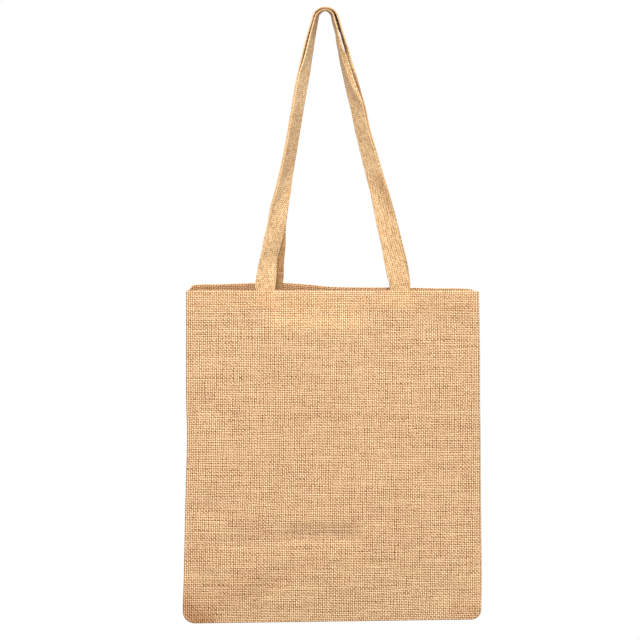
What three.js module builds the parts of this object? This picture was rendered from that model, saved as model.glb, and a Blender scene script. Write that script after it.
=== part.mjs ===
// Jute tote bag hanging by its two handles, in millimetres, +Z up, its front facing -Y.
// The origin is the point under the arch of the handles that the bag hangs from.
import * as THREE from 'three';

const { clamp, lerp, smoothstep } = THREE.MathUtils;

// Hessian panels
const cloth = 1.4;            // thickness of the hessian
const mouthZ = -340;          // folded top edge of the front
const panelDrop = 402;        // mouth to bottom seam, measured down the middle
const bottomLeftZ = -745.5;
const bottomRightZ = -740.5;
const leftCorner = 15;        // radius of the bottom corners
const rightCorner = 12;
const hemDepth = 24;          // cloth turned in at the mouth
const hemRadius = 0.95;       // of the fold at the mouth, at mid thickness
const hemInset = 6;           // the turned-in hem stops this far from the side seams
const hemStep = 1;            // between the turned-in hem and the top of the seam allowance
const seamAllowance = 9;      // cloth turned in along the side and bottom seams
const seamRadius = 1.3;       // of the turned edge, at mid thickness
const mouthReach = 150;       // depth over which the open mouth eases into the belly
const foldMargin = 25;        // the folds die away over this much beside the seams

// Webbing handles
const webWidth = 25;
const webThick = 1.8;
const tackLength = 22;        // of each end, sewn to the inside of the hem
const archRadius = 8;         // inside of the arch, at the hang point
const settleHeight = 40;      // above the mouth, where a strap has left the panel's curve

const clearance = 0.3;        // between two pieces that touch

// Side edges of the bag, one row for each depth below the mouth.
const sideEdges = [
  { below: 0, left: -169, right: 187.2 },
  { below: 80, left: -169, right: 188.4 },
  { below: 130, left: -169, right: 188.5 },
  { below: 177, left: -167.8, right: 189.1 },
  { below: 230, left: -169.2, right: 189.4 },
  { below: 275, left: -170.3, right: 189.8 },
  { below: 348, left: -171.9, right: 190.5 },
  { below: 383, left: -173, right: 190.2 },
  { below: 402, left: -173.3, right: 189.8 },
];

// How far each panel stands out from its seam along the mouth, and how much higher the back's
// edge is than the front's, one row for each place across.
const mouthLine = [
  { x: -169, front: 0, back: 0, rise: 0 },
  { x: -160, front: 2.6, back: 3, rise: 6.2 },
  { x: -130, front: 6.1, back: 7, rise: 7.3 },
  { x: -100, front: 8.1, back: 9, rise: 8.3 },
  { x: -55, front: 9.7, back: 10.4, rise: 9 },
  { x: -20, front: 10.5, back: 11, rise: 6.9 },
  { x: 5, front: 10.4, back: 10.7, rise: 4.4 },
  { x: 30, front: 10, back: 10, rise: 3.6 },
  { x: 90, front: 8, back: 7.5, rise: 3.3 },
  { x: 135, front: 5.5, back: 5.4, rise: 2.3 },
  { x: 168, front: 2.6, back: 2.6, rise: 2 },
  { x: 187.2, front: 0, back: 0, rise: 0 },
];

// How far each panel bellies out at its middle, one row for each depth below the mouth.
const belly = [
  { below: 0, front: 8, back: 8 },
  { below: 90, front: 13, back: 11 },
  { below: 200, front: 15, back: 13 },
  { below: 300, front: 12, back: 11 },
  { below: 360, front: 8, back: 7 },
  { below: 402, front: 0, back: 0 },
];

// Soft folds of the front, each along a line from one point to the other. A negative height
// is a trough, and reach is how far to each side the cloth still moves.
const frontFolds = [
  { fromX: -113, fromZ: -648, toX: -54, toZ: -644, height: -2.2, reach: 14 },
  { fromX: -34, fromZ: -640, toX: 30, toZ: -639, height: -4, reach: 12 },
  { fromX: -30, fromZ: -625, toX: 24, toZ: -624, height: 1.4, reach: 14 },
  { fromX: -77, fromZ: -706, toX: -30, toZ: -672, height: -1.6, reach: 14 },
  { fromX: -60, fromZ: -378, toX: 45, toZ: -380, height: 2.2, reach: 22 },
  { fromX: 146, fromZ: -372, toX: 172, toZ: -376, height: -1.5, reach: 14 },
  { fromX: -165, fromZ: -478, toX: -140, toZ: -484, height: -1.8, reach: 13 },
  { fromX: -168, fromZ: -600, toX: -140, toZ: -606, height: -2, reach: 14 },
  { fromX: -170, fromZ: -735, toX: -138, toZ: -704, height: -2, reach: 16 },
  { fromX: 188, fromZ: -735, toX: 150, toZ: -708, height: -2.2, reach: 16 },
];

// Legs of the handles. The straps lie flat to the panels at the mouth (turn 90) and edge-on to
// the front at the crown of the arch (turn 0). open runs from 0, one strap on the other, to 1,
// as far apart as at the mouth. front and back are how far each strap stands to the right of the
// leg's path, and curl how much further its near edge turns than the rest. skew slants the turn
// across the strap, and bend is the height over which the leg leaves the upright.
const legs = {
  left: {
    side: -1, foot: -68.3, skew: 2, bend: 56,
    rows: [
      { up: 0, turn: 90, open: 1, front: -4.6, back: 3.5, curl: 0 },
      { up: 18, turn: 74.8, open: 0.88, front: -5.4, back: 6.9, curl: 0 },
      { up: 36, turn: 58.3, open: 0.58, front: -6.9, back: 6.5, curl: 0 },
      { up: 54, turn: 57.5, open: 0.52, front: -4.8, back: 6, curl: 0 },
      { up: 77, turn: 64.6, open: 0.24, front: -1.5, back: 2.1, curl: 0 },
      { up: 103, turn: 58.1, open: 0.1, front: -0.8, back: 0.6, curl: 0 },
      { up: 122, turn: 43.2, open: 0.06, front: -0.7, back: 0.1, curl: 0 },
      { up: 141, turn: 36.1, open: 0.08, front: -1.6, back: -0.5, curl: 0 },
      { up: 170, turn: 32.7, open: 0.09, front: -1.4, back: -0.2, curl: 0 },
      { up: 219, turn: 30.9, open: 0.11, front: -1.1, back: 0.3, curl: 0 },
      { up: 243, turn: 31.6, open: 0.07, front: -0.3, back: 0.5, curl: 0 },
      { up: 262, turn: 30.1, open: 0.09, front: 0.1, back: 1.2, curl: 0 },
      { up: 280, turn: 21.8, open: 0.17, front: -0.6, back: 0.1, curl: 0 },
      { up: 304, turn: 15.4, open: 0.18, front: -0.8, back: 0, curl: 0 },
      { up: 328, turn: 9.5, open: 0.09, front: 0, back: 0.5, curl: 0 },
      { up: 345, turn: 3.1, open: 0.03, front: 0.8, back: 0, curl: 0 },
      { up: 357, turn: 0, open: 0, front: 0, back: 0, curl: 0 },
    ],
  },
  right: {
    side: 1, foot: 91.5, skew: 1.5, bend: 13,
    rows: [
      { up: 0, turn: 90, open: 1, front: -0.3, back: -0.4, curl: 0 },
      { up: 28, turn: 89.9, open: 0.74, front: -1, back: 1.9, curl: 0 },
      { up: 55, turn: 85.8, open: 0.43, front: 0, back: 0.7, curl: 0 },
      { up: 83, turn: 78.9, open: 0.18, front: -0.3, back: -0.4, curl: 0 },
      { up: 110, turn: 64.5, open: 0.11, front: 0.7, back: -0.4, curl: 0 },
      { up: 140, turn: 50.7, open: 0.06, front: 0.2, back: -0.4, curl: 0 },
      { up: 170, turn: 45.1, open: 0.02, front: -0.8, back: -0.7, curl: 0 },
      { up: 195, turn: 38.7, open: 0.02, front: -1.4, back: -1, curl: 0 },
      { up: 219, turn: 39, open: 0.2, front: -0.1, back: -1.5, curl: 51 },
      { up: 237, turn: 27.9, open: 0.26, front: -0.3, back: 0.1, curl: 50 },
      { up: 262, turn: 13.9, open: 0.02, front: -1.6, back: 2.6, curl: 48 },
      { up: 280, turn: 9, open: 0.03, front: -1.6, back: 2.7, curl: 48 },
      { up: 292, turn: 3.9, open: 0.29, front: 0.8, back: 3.3, curl: 32 },
      { up: 304, turn: 4.3, open: 0.33, front: 1.3, back: 2.1, curl: 20 },
      { up: 312, turn: 4, open: 0.29, front: 1.9, back: 2.1, curl: 8 },
      { up: 318, turn: 7.3, open: 0.23, front: 1.2, back: 1.2, curl: 0 },
      { up: 328, turn: 7, open: 0.14, front: 0.1, back: 1.2, curl: -2 },
      { up: 345, turn: 4.2, open: 0.02, front: -0.4, back: 0.1, curl: 0 },
      { up: 357, turn: 0, open: 0, front: 0, back: 0, curl: 0 },
    ],
  },
};
const skewRange = [30, 80, 150, 300];   // heights over which the slant of the turn comes and goes
const curlEdge = [-8, -3];      // the near edge curls forward, from here to here across the strap
const curlTaper = 0.18;         // and over less of it lower down, by this for each mm
const curlNarrows = 262;        // from this height
const curled = { front: 1, back: 0.6 };

// Grid steps
const faceColumns = 15;
const faceRows = 21;
const cornerSteps = 2;
const bendSteps = 3;
const legStep = 13;
const archSteps = 5;
const webLines = [-12.5, -5.5, 3.5, 12.5];   // across the webbing

// Where the folded layers lie
const allowanceDepth = (clearance + cloth) / 2;
const seamDepth = allowanceDepth + 2 * seamRadius;
const edgeInset = cloth / 2 + seamRadius;
const topInset = cloth / 2 + hemRadius;
const strapDepth = 2 * hemRadius + cloth / 2 + 1.2 * clearance + webThick / 2;

// Value of one column of a table at a place along another, on a smooth curve through the rows.
function curve(rows, along, column, place) {
  const last = rows.length - 1;
  let i = 0;
  while (i < last - 1 && place > rows[i + 1][along]) i += 1;
  const slope = (k) => {
    const before = rows[Math.max(k - 1, 0)];
    const after = rows[Math.min(k + 1, last)];
    return (after[column] - before[column]) / (after[along] - before[along]);
  };
  const span = rows[i + 1][along] - rows[i][along];
  const t = clamp((place - rows[i][along]) / span, 0, 1);
  const rise = t * t * (3 - 2 * t);
  const leave = t * (1 - t) * (1 - t) * span * slope(i);
  const arrive = t * t * (t - 1) * span * slope(i + 1);
  return lerp(rows[i][column], rows[i + 1][column], rise) + leave + arrive;
}

// Closed solid of a cloth, from grids of points at its mid thickness that share their common
// edges. A grid's skip(row, column) leaves cells out.
function clothSolid(name, grids, thickness, material) {
  const points = [];
  const seen = new Map();
  const weld = (p) => {
    const key = p.toArray().map((v) => Math.round(v * 1000)).join();
    if (!seen.has(key)) {
      seen.set(key, points.length);
      points.push(p);
    }
    return seen.get(key);
  };
  const quads = [];
  for (const { rows, skip = () => false } of grids) {
    const ids = rows.map((row) => row.map(weld));
    for (let i = 0; i + 1 < ids.length; i += 1) {
      for (let j = 0; j + 1 < ids[i].length; j += 1) {
        if (!skip(i, j)) quads.push([ids[i][j], ids[i + 1][j], ids[i + 1][j + 1], ids[i][j + 1]]);
      }
    }
  }

  const normals = points.map(() => new THREE.Vector3());
  const edges = new Map();
  for (const quad of quads) {
    const [a, b, c, d] = quad.map((id) => points[id]);
    const facing = c.clone().sub(a).cross(d.clone().sub(b)).normalize();
    quad.forEach((id, k) => {
      normals[id].add(facing);
      edges.set(`${id},${quad[(k + 1) % 4]}`, [id, quad[(k + 1) % 4]]);
    });
  }

  const count = points.length;
  const position = [];
  for (const side of [0.5, -0.5]) {
    points.forEach((p, k) => {
      position.push(...p.clone().addScaledVector(normals[k].normalize(), side * thickness));
    });
  }
  const index = [];
  for (const [a, b, c, d] of quads) {
    index.push(a, b, c, a, c, d);
    index.push(a + count, c + count, b + count, a + count, d + count, c + count);
  }
  for (const [p, q] of edges.values()) {
    if (edges.has(`${q},${p}`)) continue;
    index.push(q, p, p + count, q, p + count, q + count);
  }

  const geometry = new THREE.BufferGeometry();
  geometry.setAttribute('position', new THREE.Float32BufferAttribute(position, 3));
  geometry.setIndex(index);
  geometry.computeVertexNormals();
  const mesh = new THREE.Mesh(geometry, material);
  mesh.name = name;
  return mesh;
}

// Height of the fold field at a point of the front.
function foldHeight(x, z) {
  let height = 0;
  for (const fold of frontFolds) {
    const alongX = fold.toX - fold.fromX;
    const alongZ = fold.toZ - fold.fromZ;
    const length2 = alongX * alongX + alongZ * alongZ;
    const t = clamp(((x - fold.fromX) * alongX + (z - fold.fromZ) * alongZ) / length2, 0, 1);
    const far = Math.hypot(x - fold.fromX - t * alongX, z - fold.fromZ - t * alongZ);
    height += fold.height * Math.exp(-((far / fold.reach) ** 2));
  }
  return height;
}

// A panel is drawn flat first: across runs from the left edge to the right one at the mouth's
// width, and down from the mouth to the bottom seam.
const panelWidth = sideEdges[0].right - sideEdges[0].left;

function hang(panel, across, down) {
  const left = curve(sideEdges, 'below', 'left', down);
  const right = curve(sideEdges, 'below', 'right', down);
  const x = lerp(left, right, across / panelWidth);
  const rise = panel === 'back' ? curve(mouthLine, 'x', 'rise', x) : 0;
  const bottom = lerp(bottomLeftZ, bottomRightZ, across / panelWidth);
  return [x, lerp(mouthZ + rise, bottom, down / panelDrop)];
}

// Distance of a panel's mid thickness from the plane of the seams.
function standOff(panel, across, down) {
  const [x, z] = hang(panel, across, down);
  const fromMiddle = Math.abs((2 * across) / panelWidth - 1);
  const bulge = curve(belly, 'below', panel, down) * (1 - fromMiddle ** 3);
  const open = curve(mouthLine, 'x', panel, x);
  const below = smoothstep(down, hemDepth, mouthReach);
  const fromSeam = Math.min(across, panelWidth - across, panelDrop - down) - edgeInset;
  const free = smoothstep(fromSeam, 0, foldMargin) * smoothstep(down, hemDepth, hemDepth + foldMargin);
  const folds = panel === 'front' ? foldHeight(x, z) * free : 0;
  return seamDepth + Math.max(lerp(open, bulge, below) + folds, 0);
}

function place(panel, across, down, depth) {
  const [x, z] = hang(panel, across, down);
  return new THREE.Vector3(x, panel === 'front' ? -depth : depth, z);
}

// Even steps from one place to another, without the first place.
function evenSteps(from, to, count) {
  return Array.from({ length: count }, (_, k) => lerp(from, to, (k + 1) / count));
}

// Rounds the bottom corners: the square at a corner is drawn in to a quarter of a disc.
function roundCorner(across, down) {
  const atLeft = across < panelWidth / 2;
  const radius = (atLeft ? leftCorner : rightCorner) - edgeInset;
  const fromSide = (atLeft ? across : panelWidth - across) - edgeInset;
  const fromBottom = panelDrop - edgeInset - down;
  const a = clamp(1 - fromSide / radius, 0, 1);
  const b = clamp(1 - fromBottom / radius, 0, 1);
  const inward = radius * a * (1 - Math.sqrt(1 - (b * b) / 2));
  const upward = radius * b * (1 - Math.sqrt(1 - (a * a) / 2));
  return [across + (atLeft ? inward : -inward), down - upward];
}

// Direction from the turned edge into the panel, straight or towards a corner's centre.
function inwardFrom(across, down) {
  const radius = across < panelWidth / 2 ? leftCorner : rightCorner;
  const toAcross = clamp(across, leftCorner, panelWidth - rightCorner) - across;
  const toDown = Math.min(down, panelDrop - radius) - down;
  const length = Math.hypot(toAcross, toDown);
  return [toAcross / length, toDown / length];
}

// One panel: its face, the hem folded in at the mouth, and the edge that turns in at the seams.
function panelSolid(name, panel, material) {
  const belowHem = hemDepth + hemStep;
  const acrossSteps = [
    edgeInset,
    ...evenSteps(edgeInset, leftCorner, cornerSteps),
    ...evenSteps(leftCorner, panelWidth - rightCorner, faceColumns),
    ...evenSteps(panelWidth - rightCorner, panelWidth - edgeInset, cornerSteps),
  ];
  const downSteps = [
    topInset,
    belowHem,
    ...evenSteps(belowHem, panelDrop - leftCorner, faceRows),
    ...evenSteps(panelDrop - leftCorner, panelDrop - edgeInset, cornerSteps),
  ];
  const flat = downSteps.map((down) => acrossSteps.map((across) => roundCorner(across, down)));
  const face = flat.map((row) => row.map(([across, down]) => (
    place(panel, across, down, standOff(panel, across, down)))));

  const hemColumns = acrossSteps.filter((v) => v >= hemInset && v <= panelWidth - hemInset);
  const hem = [];
  for (const down of [hemDepth, lerp(hemDepth, topInset, 0.5)]) {
    hem.push(hemColumns.map((across) => (
      place(panel, across, down, standOff(panel, across, down) - 2 * hemRadius))));
  }
  for (let k = bendSteps; k >= 0; k -= 1) {
    const angle = (Math.PI * k) / bendSteps;
    hem.push(hemColumns.map((across) => place(panel, across,
      topInset - hemRadius * Math.sin(angle),
      standOff(panel, across, topInset) - hemRadius * (1 - Math.cos(angle)))));
  }

  const last = flat.length - 1;
  const edge = [
    ...flat.map((row) => row[0]),
    ...flat[last].slice(1, -1),
    ...flat.map((row) => row[row.length - 1]).reverse(),
  ];
  const turned = edge.map(([across, down]) => {
    const [inAcross, inDown] = inwardFrom(across, down);
    const at = (inward, depth) => place(panel, across + inAcross * inward, down + inDown * inward, depth);
    const row = [at(seamAllowance, allowanceDepth), at(seamAllowance / 2, allowanceDepth)];
    for (let k = bendSteps; k > 0; k -= 1) {
      const angle = (Math.PI * k) / bendSteps;
      row.push(at(-seamRadius * Math.sin(angle), allowanceDepth + seamRadius * (1 + Math.cos(angle))));
    }
    row.push(place(panel, across, down, standOff(panel, across, down)));
    return row;
  });
  const underHem = (k) => Math.max(edge[k][1], edge[k + 1][1]) < belowHem + hemStep;
  return clothSolid(name, [
    { rows: face },
    { rows: hem },
    { rows: turned, skip: (k, m) => m < 2 && underHem(k) },
  ], cloth, material);
}

// The two straps share one path, which the inner edge midway between them keeps to: up the left
// leg, over the arch and down the right leg.
const apartOnArch = webThick + clearance;
const apartAtMouth = 15;
const pathRadius = archRadius + webThick + clearance / 2;
const archZ = -archRadius;

// Stations of the path from a leg's foot to the crown of the arch.
function legStations(leg) {
  // The leg's inner edge runs straight from the foot's place at half the bend, and touches the arch.
  const inner = leg.foot - (leg.side * webWidth) / 2;
  const below = mouthZ + leg.bend / 2 - archZ;
  const touch = Math.atan2(below, inner) + leg.side * Math.acos(pathRadius / Math.hypot(inner, below));
  const topX = pathRadius * Math.cos(touch);
  const topUp = archZ + pathRadius * Math.sin(touch) - mouthZ;
  const slope = (inner - topX) / (topUp - leg.bend / 2);

  const onLeg = (up) => {
    const drift = up < leg.bend ? Math.max(up, 0) ** 2 / (2 * leg.bend) : up - leg.bend / 2;
    return {
      leg,
      up,
      path: new THREE.Vector3(inner - slope * drift, 0, mouthZ + up),
      along: new THREE.Vector3(-slope * clamp(up / leg.bend, 0, 1), 0, 1).normalize(),
    };
  };
  const onArch = (angle) => ({
    leg,
    up: topUp + pathRadius * Math.abs(angle - start),
    path: new THREE.Vector3(pathRadius * Math.cos(angle), 0, archZ + pathRadius * Math.sin(angle)),
    along: new THREE.Vector3(-leg.side * Math.sin(angle), 0, leg.side * Math.cos(angle)),
  });

  const start = leg.side < 0 ? touch + 2 * Math.PI : touch;
  const stations = [onLeg(-tackLength), onLeg(-tackLength / 2)];
  const legCount = Math.round(topUp / legStep);
  for (let k = 0; k < legCount; k += 1) stations.push(onLeg((topUp * k) / legCount));
  for (let k = 0; k <= archSteps; k += 1) stations.push(onArch(lerp(start, Math.PI / 2, k / archSteps)));
  return stations;
}

// Directions across the straps, and through them from the front one to the back one.
function strapAxes({ leg, along }, turn) {
  const angle = THREE.MathUtils.degToRad(turn);
  const across = new THREE.Vector3(-leg.side * Math.sin(angle), Math.cos(angle), 0);
  across.addScaledVector(along, -across.dot(along)).normalize();
  const through = new THREE.Vector3().crossVectors(across, along).multiplyScalar(leg.side);
  return { across, through };
}

// Row of points across one strap. The strap bends across its width where the turn is slanted,
// so each step from point to point has its own direction.
function strapRow(station, panel) {
  const { leg, up } = station;
  const side = panel === 'front' ? -1 : 1;
  const [from, full, fades, gone] = skewRange;
  const skew = leg.skew * smoothstep(up, from, full) * (1 - smoothstep(up, fades, gone));
  const curl = curve(leg.rows, 'up', 'curl', up) * curled[panel];
  const narrower = Math.max(curlNarrows - up, 0) * curlTaper;
  const turnAt = (w) => curve(leg.rows, 'up', 'turn', up - skew * w)
    + curl * (1 - smoothstep(w + narrower, ...curlEdge));
  const open = curve(leg.rows, 'up', 'open', up);
  const apart = lerp(apartOnArch, apartAtMouth, open);
  const steps = [new THREE.Vector3()];
  for (let k = 1; k < webLines.length; k += 1) {
    const turn = turnAt((webLines[k - 1] + webLines[k]) / 2);
    const { across } = strapAxes(station, turn);
    steps.push(steps[k - 1].clone().addScaledVector(across, webLines[k] - webLines[k - 1]));
  }
  const start = station.path.clone();
  start.sub(steps[1].clone().lerp(steps[2], -webLines[1] / (webLines[2] - webLines[1])));
  start.x = station.path.x - steps[steps.length - 1].x + curve(leg.rows, 'up', panel, up);
  const row = [];
  for (let k = 0; k < webLines.length; k += 1) {
    const p = start.clone().add(steps[k]);
    const turn = turnAt(webLines[k]);
    p.addScaledVector(strapAxes(station, turn).through, (side * apart) / 2);
    const onHem = side * (standOff(panel, p.x - sideEdges[0].left, hemDepth / 2) - strapDepth);
    p.y = lerp(onHem, p.y, smoothstep(up, 0, settleHeight));
    row.push(p);
  }
  return row;
}

function handleSolid(name, panel, material) {
  const left = legStations(legs.left);
  const right = legStations(legs.right).slice(0, -1).reverse();
  const rows = [...left, ...right].map((station) => strapRow(station, panel));
  return clothSolid(name, [{ rows }], webThick, material);
}

const hessian = new THREE.MeshStandardMaterial({ color: '#deb589', roughness: 0.95, metalness: 0 });
const webbing = new THREE.MeshStandardMaterial({ color: '#e7c090', roughness: 0.9, metalness: 0 });

const bag = new THREE.Group();
bag.add(panelSolid('front_panel', 'front', hessian));
bag.add(panelSolid('back_panel', 'back', hessian.clone()));
bag.add(handleSolid('front_handle', 'front', webbing));
bag.add(handleSolid('back_handle', 'back', webbing.clone()));

export default bag;
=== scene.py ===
import bpy
import numpy as np
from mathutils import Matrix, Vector


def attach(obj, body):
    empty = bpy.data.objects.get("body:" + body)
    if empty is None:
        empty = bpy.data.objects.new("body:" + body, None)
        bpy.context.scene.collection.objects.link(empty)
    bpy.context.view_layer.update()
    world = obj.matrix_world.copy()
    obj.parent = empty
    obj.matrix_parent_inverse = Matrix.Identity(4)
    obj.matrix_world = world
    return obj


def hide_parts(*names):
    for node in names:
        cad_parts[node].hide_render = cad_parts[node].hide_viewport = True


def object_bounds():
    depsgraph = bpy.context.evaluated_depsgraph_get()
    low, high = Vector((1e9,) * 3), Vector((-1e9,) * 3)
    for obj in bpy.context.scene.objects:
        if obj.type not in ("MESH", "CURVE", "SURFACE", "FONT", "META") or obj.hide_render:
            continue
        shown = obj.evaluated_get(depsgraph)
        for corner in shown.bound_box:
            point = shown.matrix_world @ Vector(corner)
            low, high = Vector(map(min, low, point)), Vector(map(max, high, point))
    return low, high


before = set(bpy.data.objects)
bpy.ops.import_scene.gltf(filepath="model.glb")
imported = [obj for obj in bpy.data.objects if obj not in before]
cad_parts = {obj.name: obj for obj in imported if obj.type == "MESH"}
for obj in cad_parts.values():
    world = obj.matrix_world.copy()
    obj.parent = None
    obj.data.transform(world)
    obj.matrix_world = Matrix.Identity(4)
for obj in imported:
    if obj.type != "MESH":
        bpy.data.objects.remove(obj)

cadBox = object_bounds()
bpy.context.scene.view_settings.view_transform = "Standard"

# Jute tote bag hanging by its two handles. Lengths are in millimetres until a mesh is made.
# The origin is the point that the bag hangs from, +Z is up and the front faces -Y.
toMetres = 0.001
sharpAngle = 65              # degrees; an edge that bends more than this is drawn sharp


def linearColour(code):
    # sRGB hex to linear: the low end is divided by 12.92, the rest is ((c + 0.055) / 1.055)^2.4
    parts = [int(code[k:k + 2], 16) / 255 for k in (1, 3, 5)]
    return [c / 12.92 if c <= 0.04045 else ((c + 0.055) / 1.055) ** 2.4 for c in parts] + [1.0]


def addNode(tree, kind, inputs=None, **settings):
    # one node with its settings; an input is a value or the output that feeds it
    node = tree.nodes.new("ShaderNode" + kind)
    for key, value in settings.items():
        setattr(node, key, value)
    for key, value in (inputs or {}).items():
        if isinstance(value, bpy.types.NodeSocket):
            tree.links.new(value, node.inputs[key])
        else:
            node.inputs[key].default_value = value
    return node


def emptyMaterial(title):
    # a material whose node tree is still empty
    material = bpy.data.materials.new(title)
    material.use_nodes = True
    material.node_tree.nodes.clear()
    return material, material.node_tree


def smoothPiece(name, points, faces, uvName, uv, material):
    # a piece from points in millimetres, with one uv for each point
    mesh = bpy.data.meshes.new(name)
    mesh.from_pydata(points * toMetres, [], faces)
    loops = np.empty(len(mesh.loops), np.int32)
    mesh.loops.foreach_get("vertex_index", loops)
    mesh.uv_layers.new(name=uvName).data.foreach_set("uv", uv[loops].ravel())
    mesh.polygons.foreach_set("use_smooth", np.ones(len(mesh.polygons), bool))
    mesh.materials.append(material)
    piece = bpy.data.objects.new(name, mesh)
    bpy.context.scene.collection.objects.link(piece)
    return piece


def lerp(a, b, t):
    # from a to b, t of the way
    return a + (b - a) * t


def smoothstep(value, low, high):
    # 0 up to low, 1 from high on, and 3t^2 - 2t^3 between them
    t = np.clip((value - low) / (high - low), 0, 1)
    return t * t * (3 - 2 * t)


def curve(table, along, column, place):
    # cubic through a table's rows, with the slope at each row taken from the rows beside it
    x, y = np.array(table[along], float), np.array(table[column], float)
    k = np.arange(len(x))
    before, after = np.maximum(k - 1, 0), np.minimum(k + 1, len(x) - 1)
    slope = (y[after] - y[before]) / (x[after] - x[before])
    i = np.clip(np.searchsorted(x, place) - 1, 0, len(x) - 2)
    span = x[i + 1] - x[i]
    t = np.clip((place - x[i]) / span, 0, 1)
    bends = t * (1 - t) ** 2 * slope[i] + t * t * (t - 1) * slope[i + 1]
    return lerp(y[i], y[i + 1], t * t * (3 - 2 * t)) + bends * span


def wander(random, threads, places, reach):
    # one row of smooth noise for each thread, with a new random value every reach places
    knots = random.normal(size=(threads, int(places / reach) + 3))
    at = np.arange(places) / reach + random.random((threads, 1))
    k = at.astype(int)
    low = np.take_along_axis(knots, k, 1)
    return lerp(low, np.take_along_axis(knots, k + 1, 1), smoothstep(at - k, 0, 1))


def weaveShift(random, rows, columns, reach):
    # a smooth field with a new random value every reach yarns both ways
    knots = wander(random, int(rows / reach) + 3, columns, reach)
    at = np.arange(rows)[:, None] / reach + random.random()
    k = at.astype(int)
    return lerp(knots[k[:, 0]], knots[k[:, 0] + 1], smoothstep(at - k, 0, 1))


def weaveHeight(u, v, weave):
    # plain weave, 0 in a hole and 1 on a crown. A thread is a round ridge along its own whole
    # number that rises and falls as a cosine, and the warp and weft are half a wave apart. The
    # twist of the yarn slants each crown.
    warp, weft = np.round(u), np.round(v)
    warpRidge = np.sqrt(np.maximum(1 - ((u - warp) / weave["warpHalf"]) ** 2, 0))
    weftRidge = np.sqrt(np.maximum(1 - ((v - weft) / weave["weftHalf"]) ** 2, 0))
    warpPhase = v + warp - weave["slant"] * (u - warp)
    weftPhase = u + weft - weave["slant"] * (v - weft)
    warpHeight = warpRidge * (1 - weave["warpCrimp"] * (1 - np.cos(np.pi * warpPhase)))
    weftHeight = weftRidge * (1 - weave["weftCrimp"] * (1 + np.cos(np.pi * weftPhase)))
    return np.maximum(warpHeight, weftHeight * weave["weftCrown"])


def clothMesh(name, grids, thickness, material, attributes=(), flip=False):
    # Cloth from grids at mid thickness that share their edges. A point is moved out and in by
    # half the thickness and its lift, along the normal summed over its quads. A pitted quad
    # gets a middle point, sunk by its pit, for the hole between four crossings.
    flat = {key: np.concatenate([g[key].reshape(-1, *g[key].shape[2:]) for g in grids])
            for key in ("points", "threads", "lift", "under", *attributes)}
    _, first, ids = np.unique(np.round(flat["points"], 3), axis=0,
                              return_index=True, return_inverse=True)
    flat = {key: value[first] for key, value in flat.items()}
    ids, points, start, quads, pits = ids.ravel(), flat["points"], 0, [], []
    for grid in grids:
        rows, columns = grid["points"].shape[:2]
        n = ids[start:start + rows * columns].reshape(rows, columns)
        start += rows * columns
        keep = grid.get("keep", np.ones((rows - 1, columns - 1), bool))
        quads.append(np.stack([n[:-1, :-1], n[1:, :-1], n[1:, 1:], n[:-1, 1:]], -1)[keep])
        pits.append(grid.get("pits", np.full((rows - 1, columns - 1), np.nan))[keep])
    used, quads = np.unique(np.concatenate(quads), return_inverse=True)
    quads, pits, points = quads.reshape(-1, 4), np.concatenate(pits), points[used]
    flat = {key: value[used] for key, value in flat.items()}
    if flip:
        quads = quads[:, ::-1]
    a, b, c, d = (points[quads[:, k]] for k in range(4))
    facing = np.cross(c - a, d - b)
    normals = np.zeros_like(points)
    for k in range(4):
        np.add.at(normals, quads[:, k], facing)
    normals /= np.linalg.norm(normals, axis=1, keepdims=True)

    count = len(points)
    outer = points + normals * (thickness / 2 + flat["lift"])[:, None]
    inner = points - normals * (thickness / 2 + flat["under"])[:, None]
    pitted = ~np.isnan(pits)
    middles = outer[quads[pitted]].mean(1) - normals[quads[pitted]].mean(1) * pits[pitted, None]
    middleIds = 2 * count + np.arange(len(middles))
    edges = np.concatenate([quads[:, [k, (k + 1) % 4]] for k in range(4)])
    rim = edges[~np.isin(edges[:, 0] * count + edges[:, 1], edges[:, 1] * count + edges[:, 0])]
    faces = [*quads[~pitted], *(quads[:, ::-1] + count)]
    for k in range(4):
        faces += [*np.column_stack([quads[pitted][:, [k, (k + 1) % 4]], middleIds])]
    faces += [*np.column_stack([rim[:, ::-1], rim + count])]

    spread = {}
    for key in ("threads", *attributes):
        spread[key] = np.concatenate([flat[key], flat[key], flat[key][quads[pitted]].mean(1)])
    points = np.concatenate([outer, inner, middles])
    piece = smoothPiece(name, points, faces, "Threads", spread["threads"], material)
    for key in attributes:
        piece.data.attributes.new(key, "FLOAT", "POINT").data.foreach_set("value", spread[key])
    piece.data.set_sharp_from_angle(angle=np.radians(sharpAngle))
    return piece


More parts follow.
